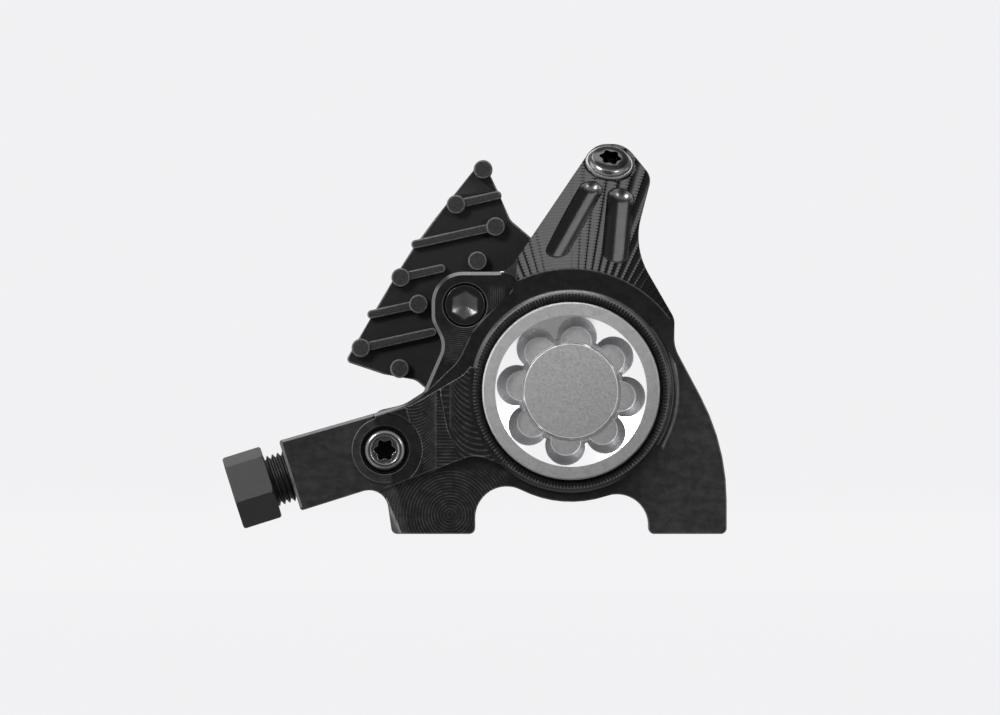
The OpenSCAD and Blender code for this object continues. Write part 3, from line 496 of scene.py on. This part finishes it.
def bodyFinish():
    finish = Finish("anodisedBlack")
    reach = finish.distance(*bore)
    turn = finish.angle(*bore) * (180 / math.pi)
    along = finish.along(hoseEnd, hoseLean)
    front = finish.fade(finish.y, *areas["front"])
    worn = finish.worn()
    onSlope, ridges, ridgeShade = slopeMarks(finish, reach, turn)
    milled = bossMarks(finish, reach, along) + footMarks(finish) * front * 0.9 + earMarks(finish)
    teeth = finish.scallop(turn / marks["teeth"]["turn"]) * front
    teeth = teeth * finish.inside(reach, *marks["teeth"]["reach"], 0.05)
    # painted highlight: a light band round the upper half of the ring, just outside the teeth
    arc = finish.inside(reach, *marks["arc"]["reach"], 0.05) * front
    arc = arc * finish.between(finish.z, *marks["arc"]["z"])
    patchy = finish.between(finish.noise(1.2), 0.35, 0.65, 0.35, 1.0)
    lines = (milled ** 2.0 * 1.1 + teeth ** 2.0 * 0.8) * (1 - onSlope) * patchy + arc * 0.7
    height = ridges + (milled * 0.01 + teeth * 0.03) * (1 - onSlope) + finish.noise(9.0) * 0.0015
    colour = finish.blend(finish.noise(0.35, 4.0), body["base"], body["light"])
    # painted sheen: the hose arm's front face and the lower right of the front are painted lighter, streaked
    # by noise
    armSheen = finish.fade(along, *areas["arm"]) * front
    right = areas["lowRightSheen"]
    lowRightSheen = finish.between(finish.x - finish.z * right["lean"], *right["from"]) * front
    swirl = finish.between(finish.noise(0.5, 4.0, 0.6, (1, 1, 2.5)), 0.35, 0.65, 0.6, 1.0)
    colour = finish.blend((armSheen * 0.8 + lowRightSheen) * swirl, colour, body["arm"])
    # the cutter's marks in their lighter tone, with the arc's painted highlight
    colour = finish.blend(lines, colour, body["markAndArcHighlight"])
    below = finish.y - slopeAt(reach)
    acrossX, acrossZ, flankAt = body["flank"]
    inArm = finish.between(finish.x * acrossX + finish.z * acrossZ, flankAt + 0.1, flankAt + 0.3)
    fluted = finish.inside(below, *areas["flutes"]["below"], 0.1) * inArm  # away from the left flank
    fluted = fluted * finish.between(finish.z, *areas["flutes"]["low"])
    colour = finish.blend(onSlope + fluted * 0.7, colour, body["slope"])
    onTip = finish.inside(finish.x, tip["left"], tip["right"], 0.05)
    onTip = onTip * finish.between(finish.y, *areas["tip"])
    onTip = onTip * finish.between(pastTip(finish.x, finish.z), 0.0, 0.05)
    colour = finish.blend(onTip, colour, tip["colour"])
    # painted highlight: the upper ends of the flutes are painted lighter
    top = areas["fluteTopHighlight"]
    fluteTopHighlight = finish.between(finish.z + finish.x * top["lean"], *top["from"]) * fluted
    colour = finish.blend(fluteTopHighlight, colour, body["fluteEndHighlight"])
    # painted highlight on the broken edges
    colour = finish.blend(worn, colour, body["worn"])
    # painted shade in the slope's ridges
    colour = finish.blend(ridgeShade, colour, body["ridgeShadeTone"])
    sides = finish.between(finish.y, *areas["sides"]["depth"]) * (1 - fluted)
    sides = sides * finish.between(below, *areas["sides"]["below"])
    rough = finish.uneven(finish.noise(0.8), body["rough"]) * (1 - onSlope * 0.4)
    rough = rough + finish.inside(worn, 0.15, 0.6, 0.05) * 0.25 - fluted * 0.04 + sides * 0.16
    return finish.set(Base_Color=colour, Roughness=rough, Metallic=0.9, Normal=finish.bump(height))


# share of the edge width that each kind of edge gets, and where the kinds end
shares = {"pin": 0.4, "port": 0.2, "fine": 0.3, "arm": 0.8, "ear": 1.0, "other": 0.4}
limits = {"ring": 13.0, "rear": 29.0, "tipLine": (-6.6, -5.9), "tipLow": 33.0, "rim": 3.6, "flute": 2.15,
          "armStop": (-25.5, -25.4), "bossDepth": -5.8, "short": 1.0, "slopeReach": 16.6, "slopeLow": 20.0,
          "slopeNear": 0.4, "frontDepth": -4.0, "lowStep": 1.2, "arm": -26.0, "earRight": -5.0,
          "earLow": 14.0, "earReach": 14.5}


def segmentGap(point, start, end):
    share = geometry.intersect_point_line((point.x, point.z), start, end)[1]
    nearest = Vector(start).lerp(Vector(end), min(max(share, 0.0), 1.0))
    return (Vector((point.x, point.z)) - nearest).length


def staysSharp(middle, reach):
    if reach < limits["ring"] or middle.y > limits["rear"]:
        return True
    if limits["tipLine"][0] < middle.x < limits["tipLine"][1] and middle.z > limits["tipLow"]:
        return True  # thin line between the ear and the slope
    onTip = tip["left"] < middle.x < tip["right"] and middle.y < tip["deep"]
    if onTip and pastTip(middle.x, middle.z) > -0.02:
        return True  # tip of the ear that layTip moves
    return any(segmentGap(middle, *ends) < limits["flute"] for ends in body["flutes"])  # flute rims


def bodyEdge(edge):
    middle = (edge.verts[0].co + edge.verts[1].co) / 2 / mm
    reach = math.hypot(middle.x - bore[0], middle.z - bore[1])
    walls = [face for face in edge.link_faces if abs(face.normal.y) < 0.15]
    if staysSharp(middle, reach):
        return 0.0
    for hole in ("pin", "port"):
        if math.hypot(middle.x - body[hole][0], middle.z - body[hole][1]) < limits["rim"]:
            return shares[hole]
    if limits["armStop"][0] < middle.x < limits["armStop"][1] and middle.y > limits["bossDepth"]:
        return 0.0  # the arm's chamfer stops before the boss
    if len(walls) == 2 and edge.calc_length() < limits["short"] * mm:
        return 0.0
    nearSlope = abs(middle.y - slopeAt(reach)) < limits["slopeNear"]
    if reach > limits["slopeReach"] and middle.z > limits["slopeLow"] and nearSlope:
        return shares["fine"] if walls else 0.0
    if middle.y > limits["frontDepth"] or not walls:
        return shares["fine"]
    depths = [corner.co.y for corner in walls[0].verts]
    if max(depths) - min(depths) < limits["lowStep"] * mm:
        return shares["fine"]  # a low step between two levels
    if middle.x < limits["arm"]:
        return shares["arm"] if walls[0].normal.z > -0.4 else shares["fine"]  # top and end of the hose arm
    if middle.x < limits["earRight"] and middle.z > limits["earLow"] and reach > limits["earReach"]:
        return shares["ear"]  # ear and the top of the web
    return shares["other"]


def slopeNormal(face, point):
    for corner in face.verts:
        place = corner.co / mm
        reach = math.hypot(place.x - bore[0], place.z - bore[1])
        if reach < body["slopeStart"] - 0.05 or abs(place.y - slopeAt(reach)) > 0.09:
            return None
    if face.normal.y > -0.5 or face.normal.y < -0.8:
        return None
    tilt = math.atan(body["slopeRise"])
    around = math.atan2(point.z - bore[1], point.x - bore[0])
    return Vector((math.sin(tilt) * math.cos(around), -math.cos(tilt), math.sin(tilt) * math.sin(around)))


def layTip(mesh):
    def inFront(corner):
        return corner.co.x < tip["right"] * mm and corner.co.y < (tip["ear"] + 0.05) * mm

    def nearTip(place):
        beside = tip["left"] < place.x < tip["right"] + 0.1
        return beside and tip["low"] < place.z < tip["high"] and place.y < tip["deep"]

    faces = [face for face in mesh.faces if all(inFront(corner) for corner in face.verts)]
    edges = {edge for face in faces for edge in face.edges}
    corners = {corner for face in faces for corner in face.verts}
    bmesh.ops.bisect_plane(mesh, geom=list(corners) + list(edges) + faces, dist=1e-8,
                           plane_co=inMetres((tip["line"][0], 0, tip["line"][1])), plane_no=tip["across"])
    for corner in mesh.verts:
        place = corner.co / mm
        past = pastTip(place.x, place.z)
        if inFront(corner) and place.x > tip["left"] and past > -0.001:
            corner.co.y = (tip["ear"] + max(past, 0.0) * body["slopeRise"]) * mm
    close = [corner for corner in mesh.verts if nearTip(corner.co / mm)]
    bmesh.ops.remove_doubles(mesh, verts=close, dist=tip["join"] * mm)


def makeBody():
    mesh = takeNode("caliper_body", body["cuts"], layTip)
    breakEdges(mesh, body["edge"], bodyEdge, flat=(shares["ear"], shares["arm"]))
    made = settle(mesh, "caliper_body", bodyFinish(), special=slopeNormal)
    standFor(made, "caliper_body")


makeBody()
print("body dressed")

# bore cap: blasted disc, turned rim, bright polished cone between the lobes; a painted highlight on the
# disc's edge and along the lobe floors, painted shading across the cap
cap = {
    "edge": 0.06, "discEdge": 4.0, "disc": 6.6, "discFront": -4.8, "base": grey(0.34, 0.347),
    "light": grey(0.56, 0.57), "wall": grey(0.26, 0.265), "polishAndHighlight": grey(0.88, 0.89),
    "coneIn": 7.25, "coneOut": 10.26, "coneFloor": -5.6, "coneRim": -6.85,
    "lobes": 8, "lobeTurn": math.radians(84), "lobeRing": 6.7, "lobeHighlightSpan": (1.96, 2.1),
    "coneSpan": (7.2, 10.24), "lobeSpan": (6.7, 9.6), "wallSpan": (6.65, 10.2), "wallDepth": (-4.75, -4.65),
    "ringPitch": 0.11, "ringSpan": (9.9, 10.2), "discHighlightSpan": (6.9, 7.0), "rough": (0.42, 0.50),
    "shadeLean": 0.5, "shadeSpan": (4.0, 30.0),
}


def lobeReach(finish, reach):
    step = 2 * math.pi / cap["lobes"]
    part = (finish.angle(*bore) - cap["lobeTurn"]) / step + 0.5
    turn = (part.maths("FRACT", part) - 0.5) * step
    out = reach * turn.maths("COSINE", turn) - cap["lobeRing"]
    across = reach * turn.maths("SINE", turn)
    return out.maths("SQRT", out * out + across * across)


def capFinish():
    finish = Finish("silverAluminium")
    reach = finish.distance(*bore)
    fall = (cap["coneRim"] - cap["coneFloor"]) / (cap["coneOut"] - cap["coneIn"])
    cone = (reach - cap["coneIn"]) * fall + cap["coneFloor"]
    onCone = finish.fade(abs(finish.y - cone), 0.02, 0.06) * finish.inside(reach, *cap["coneSpan"], 0.03)
    # painted highlight: a thin light line round each lobe's floor
    lobeHighlight = finish.inside(lobeReach(finish, reach), *cap["lobeHighlightSpan"], 0.05)
    lobeHighlight = lobeHighlight * finish.inside(reach, *cap["lobeSpan"], 0.1)
    polishAndHighlight = onCone + lobeHighlight * 0.6 * (1 - onCone)
    milled = finish.inside(reach, *cap["wallSpan"], 0.05) * finish.fade(finish.y, *cap["wallDepth"])
    blast = finish.noise(9.0, 2.0)
    rings = finish.scallop(reach / cap["ringPitch"]) * finish.between(reach, *cap["ringSpan"])
    normal = finish.bump((blast * 0.005 + rings * 0.0015) * (1 - milled))
    mottle = finish.between(finish.noise(3.5, 3.0, 0.7), 0.3, 0.7)
    # painted shading: lighter towards the upper left, darker towards the lower right, mixed with a random
    # mottle
    shade = finish.between(finish.z - finish.x * cap["shadeLean"], *cap["shadeSpan"])
    colour = finish.blend(shade * 0.65 + mottle * 0.35, cap["base"], cap["light"])
    colour = finish.blend(milled * 0.5, colour, cap["wall"])
    # painted highlight on the disc's broken edge
    edge = finish.worn() * finish.fade(reach, *cap["discHighlightSpan"])
    # the cone's polish and the painted highlights share one light tone
    colour = finish.blend(polishAndHighlight.maths("MAXIMUM", polishAndHighlight, edge), colour, cap["polishAndHighlight"])
    rough = finish.uneven(finish.noise(3.0), cap["rough"]) * (1 - milled * 0.35) * (1 - onCone * 0.55)
    return finish.set(Base_Color=colour, Roughness=rough, Metallic=1.0, Normal=normal)


def capEdge(edge):
    middle = (edge.verts[0].co + edge.verts[1].co) / 2 / mm
    reach = math.hypot(middle.x - bore[0], middle.z - bore[1])
    onDisc = abs(reach - cap["disc"]) < 0.05 and middle.y < cap["discFront"]
    return cap["discEdge"] if onDisc else 1.0


def makeCap():
    mesh = takeNode("bore_cap", [((bore[0], 0, 0), (1, 0, 0))])
    breakEdges(mesh, cap["edge"], capEdge, soft=1.0)
    made = settle(mesh, "bore_cap", capFinish(), 14.0)
    standFor(made, "bore_cap")


makeCap()

# finned pads, their raised faces painted lighter than the flats as painted light and shade, their broken
# edges with a painted highlight
fin = {"edge": 0.22, "base": grey(0.011, 0.012), "light": grey(0.027, 0.028), "raised": grey(0.072, 0.074),
       "worn": grey(0.23, 0.235), "ribs": 1.4, "rough": (0.40, 0.55)}


def finFinish():
    finish = Finish("castBlack")
    front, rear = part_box("front_pad_fin")[0][1] / mm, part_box("rear_pad_fin")[1][1] / mm
    # painted light and shade: the ribs' and studs' raised faces are painted lighter than the flats between
    # them
    raised = finish.fade(finish.y, front + fin["ribs"] * 0.3, front + fin["ribs"] * 0.7)
    raised = raised + finish.between(finish.y, rear - fin["ribs"] * 0.7, rear - fin["ribs"] * 0.3)
    grain = finish.noise(5.0, 4.0, 0.65)
    specks = finish.between(finish.noise(14.0, 2.0), 0.52, 0.7)
    normal = finish.bump(grain * 0.03 + specks * 0.006)
    colour = finish.blend(grain, fin["base"], fin["light"])
    colour = finish.blend(raised * finish.between(grain, 0.35, 0.6, 0.25, 0.7), colour, fin["raised"])
    # painted highlight on the broken edges of the ribs and studs
    colour = finish.blend(finish.worn() * finish.between(grain, 0.35, 0.6, 0.4, 1.0), colour, fin["worn"])
    rough = finish.uneven(grain, fin["rough"])
    return finish.set(Base_Color=colour, Roughness=rough, Specular_IOR_Level=0.2, Normal=normal)


def makeFins():
    material = finFinish()
    for node in ("front_pad_fin", "rear_pad_fin"):
        mesh = takeNode(node)
        breakEdges(mesh, fin["edge"], segments=3, soft=1.0)
        made = settle(mesh, node, material)
        standFor(made, node)


makeFins()

# black screws and the pad pin, each socket with a drilled floor; the bleed screw's head is domed
screw = {"socket": 2.0, "head": 0.6, "domeFrom": 1.2, "dome": 0.154, "shade": grey(0.008, 0.008),
         "highlightTone": grey(0.2, 0.204), "rough": (0.15, 0.25)}
# seat, direction outwards, drilled floor, height under which the screw is painted near black as painted
# shade, radius outside which the head gets a painted highlight; base and light differ from screw to screw to
# match how light falls on each, painted light and shade
screws = {
    "pad_pin_bolt": {"seat": (-13.09, -5.2, 30.94), "outward": (0, -1, 0), "drill": 0.7, "edge": 0.2,
                     "dark": -9.0, "crown": 9.0, "base": grey(0.06, 0.061), "light": grey(0.09, 0.092)},
    "bleed_screw": {"seat": (6.497, 10.871, 50.187), "outward": (0.12652, -0.65606, 0.74404), "drill": 0.3,
                    "edge": 0.11, "dark": 0.9, "crown": 2.3, "base": grey(0.04, 0.041),
                    "light": grey(0.06, 0.062)},
    "port_screw": {"seat": (-23.916, -6.2, 11.353), "outward": (0, -1, 0), "drill": 0.2, "edge": 0.11,
                   "dark": -0.5, "crown": 9.0, "base": grey(0.16, 0.163), "light": grey(0.23, 0.234)},
}


def screwFinish(node):
    values = screws[node]
    finish = Finish(node + "Steel")
    away = [wire - start for wire, start in zip((finish.x, finish.y, finish.z), values["seat"])]
    height = sum(wire * share for wire, share in zip(away, values["outward"]))
    grain = finish.noise(7.0)
    colour = finish.blend(finish.noise(1.5), values["base"], values["light"])
    # painted shade: below the given height over the seat the screw is painted near black
    sunkShade = finish.fade(height, values["dark"] - 0.15, values["dark"] + 0.15)
    colour = finish.blend(sunkShade, colour, screw["shade"])
    reach = height.maths("SQRT", sum(wire * wire for wire in away) - height * height)
    # painted highlight: the head outside the given radius is painted lighter
    crown = finish.between(reach, values["crown"], values["crown"] + 0.25)
    colour = finish.blend(crown, colour, screw["highlightTone"])
    rough = finish.uneven(grain, screw["rough"])
    return finish.set(Base_Color=colour, Roughness=rough, Metallic=0.9, Normal=finish.bump(grain * 0.004))


def drillSocket(mesh, seat, outward, depth):
    floors = []
    for face in mesh.faces:
        reach = max((corner.co - seat).cross(outward).length for corner in face.verts)
        middle = face.calc_center_median() - seat
        centred = reach < screw["socket"] * mm and middle.cross(outward).length < 0.2 * mm
        if centred and face.normal.dot(outward) > 0.99:
            floors.append((middle.dot(outward), face))
    floor = min(floors, key=lambda entry: entry[0])[1]
    bmesh.ops.poke(mesh, faces=[floor], offset=-depth * mm, center_mode="MEAN")


def domeHead(mesh, seat, outward):
    for corner in mesh.verts:
        away = corner.co - seat
        past = away.cross(outward).length / mm - screw["domeFrom"]
        if away.dot(outward) > screw["head"] * mm and past > 0:
            corner.co -= outward * screw["dome"] * past * past * mm

    def domeNormal(face, point):
        away = point * mm - seat
        if face.normal.dot(outward) < 0.9 or away.dot(outward) < screw["head"] * mm:
            return None
        side = away - outward * away.dot(outward)
        past = max(side.length / mm - screw["domeFrom"], 0.0)
        return (outward + side.normalized() * 2 * screw["dome"] * past).normalized()

    return domeNormal


def makeScrews():
    for node, values in screws.items():
        seat, outward = inMetres(values["seat"]), Vector(values["outward"])
        mesh = takeNode(node)
        breakEdges(mesh, values["edge"])
        drillSocket(mesh, seat, outward, values["drill"])
        special = domeHead(mesh, seat, outward) if node == "bleed_screw" else None
        made = settle(mesh, node, screwFinish(node), special=special)
        standFor(made, node)


makeScrews()

# hose nut with its thread partly out of the arm; out and in are measured from the arm's end
nut = {"edge": 0.12, "base": grey(0.033, 0.035), "light": grey(0.045, 0.047), "thread": grey(0.022, 0.023),
       "out": 2.7, "in": -4.5, "pitch": 0.72, "crest": 3.48, "root": 3.02, "hole": 2.55, "turnSteps": 48,
       "shape": ((0.0, "root"), (0.12, "root"), (0.42, "crest"), (0.62, "crest"), (0.92, "root"),
                 (1.0, "root")),
       "threadFrom": (-2.75, -2.6), "rough": (0.42, 0.55)}


def nutFinish():
    finish = Finish("greyNut")
    grain = finish.noise(5.0)
    colour = finish.blend(finish.noise(0.8, 4.0), nut["base"], nut["light"])
    threaded = finish.between(finish.along(hoseEnd, hoseLean), *nut["threadFrom"])
    colour = finish.blend(threaded, colour, nut["thread"])
    rough = finish.uneven(grain, nut["rough"])
    return finish.set(Base_Color=colour, Roughness=rough, Metallic=0.35, Normal=finish.bump(grain * 0.006))


def addThread(mesh, seat, outward):
    pitch = nut["pitch"]
    across = Vector((0, 1, 0))

    def place(radius, reach):
        return mesh.verts.new(seat + (across * radius + outward * reach) * mm)

    start = nut["in"] - pitch
    turns = math.ceil((nut["out"] - start) / pitch) + 1
    points = [place(nut[size], start + share * pitch) for share, size in nut["shape"]]
    edges = [mesh.edges.new(pair) for pair in zip(points, points[1:])]
    bmesh.ops.spin(mesh, geom=points + edges, cent=seat, axis=outward, angle=2 * math.pi * turns,
                   steps=turns * nut["turnSteps"], dvec=outward * (pitch * mm / nut["turnSteps"]))
    bmesh.ops.remove_doubles(mesh, verts=mesh.verts, dist=1e-7)
    for reach, side in ((nut["in"], -1), (nut["out"], 1)):
        bmesh.ops.bisect_plane(mesh, geom=everything(mesh), dist=1e-9, plane_co=seat + outward * reach * mm,
                               plane_no=outward * side, clear_outer=True)
    tube = [place(nut["hole"], nut["out"]), place(nut["hole"], nut["in"]), place(nut["root"], nut["in"])]
    edges = [mesh.edges.new(pair) for pair in zip(tube, tube[1:])]
    bmesh.ops.spin(mesh, geom=tube + edges, cent=seat, axis=outward, angle=2 * math.pi,
                   steps=nut["turnSteps"], use_merge=True)
    bmesh.ops.recalc_face_normals(mesh, faces=mesh.faces)


def makeNut():
    outward = Vector((-math.cos(hoseLean), 0, -math.sin(hoseLean)))
    seat = inMetres((hoseEnd[0], hoseDepth, hoseEnd[1]))
    mesh = takeNode("hose_nut")
    hexFrom = seat + outward * (nut["out"] - 0.05) * mm
    bmesh.ops.bisect_plane(mesh, geom=everything(mesh), dist=1e-9, plane_co=hexFrom, plane_no=outward,
                           clear_inner=True)
    breakEdges(mesh, nut["edge"])
    thread = bmesh.new()
    addThread(thread, seat, outward)
    data = bpy.data.meshes.new("thread")
    thread.to_mesh(data)
    thread.free()
    mesh.from_mesh(data)
    made = settle(mesh, "hose_nut", nutFinish())
    standFor(made, "hose_nut")


makeNut()
print("cap, fins, screws and nut dressed")

# pieces inside the caliper, by finish
inner = {
    "sealRubber": {
        "nodes": ("bore_cap_seal", "front_piston_seal", "rear_piston_seal", "bleed_screw_seal",
                  "port_screw_seal"),
        "slot": "seal_rubber", "edge": 0.08, "low": (0.012, 0.012, 0.012), "high": (0.03, 0.03, 0.03),
        "grain": 4.0, "depth": 0.01, "rough": (0.55, 0.8), "metallic": 0.0},
    "pistonResin": {
        "nodes": ("front_piston", "rear_piston"),
        "slot": "piston_resin", "edge": 0.12, "low": (0.62, 0.58, 0.50), "high": (0.74, 0.70, 0.62),
        "grain": 5.0, "depth": 0.006, "rough": (0.28, 0.42), "metallic": 0.0},
    "plateSteel": {
        "nodes": ("front_pad_plate", "rear_pad_plate"),
        "slot": "plate_steel", "edge": 0.1, "low": (0.28, 0.28, 0.29), "high": (0.42, 0.42, 0.43),
        "grain": 3.0, "depth": 0.008, "rough": (0.3, 0.5), "metallic": 1.0, "stretch": (1, 4, 1)},
    "brakeLining": {
        "nodes": ("front_pad_lining", "rear_pad_lining"),
        "slot": "brake_lining", "edge": 0.1, "low": (0.05, 0.04, 0.034), "high": (0.2, 0.16, 0.12),
        "grain": 3.5, "depth": 0.05, "rough": (0.8, 0.95), "metallic": 0.1},
    "springSteel": {
        "nodes": ("pad_pin_clip",),
        "slot": "spring_steel", "edge": 0.06, "low": (0.45, 0.45, 0.46), "high": (0.6, 0.6, 0.61),
        "grain": 4.0, "depth": 0.004, "rough": (0.22, 0.34), "metallic": 1.0},
    "oliveBrass": {
        "nodes": ("hose_olive",),
        "slot": "olive_brass", "edge": 0.1, "low": (0.66, 0.48, 0.2), "high": (0.78, 0.6, 0.3),
        "grain": 4.0, "depth": 0.005, "rough": (0.25, 0.4), "metallic": 1.0},
}


def innerFinish(name, values):
    finish = Finish(name)
    stretch = values.get("stretch", (1, 1, 1))
    grain = finish.noise(values["grain"], 4.0, 0.6, stretch)
    patches = finish.noise(values["grain"] / 4, 4.0, 0.6, stretch)
    colour = finish.blend(patches, values["low"], values["high"])
    rough = finish.uneven(grain, values["rough"])
    return finish.set(Base_Color=colour, Roughness=rough, Metallic=values["metallic"],
                      Normal=finish.bump(grain * values["depth"]))


def makeInner(material, values):
    for node in values["nodes"]:
        mesh = takeNode(node)
        breakEdges(mesh, values["edge"])
        standFor(settle(mesh, node, material), node)


innerMaterials = {}
for finishName, finishValues in inner.items():
    innerMaterials[finishName] = innerFinish(finishName, finishValues)
    makeInner(innerMaterials[finishName], finishValues)


def makeSpring():
    mesh = takeNode("pad_spring")
    made = settle(mesh, "pad_spring", innerMaterials["springSteel"])
    standFor(made, "pad_spring")
    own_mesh(made)


makeSpring()
print("inner pieces dressed")
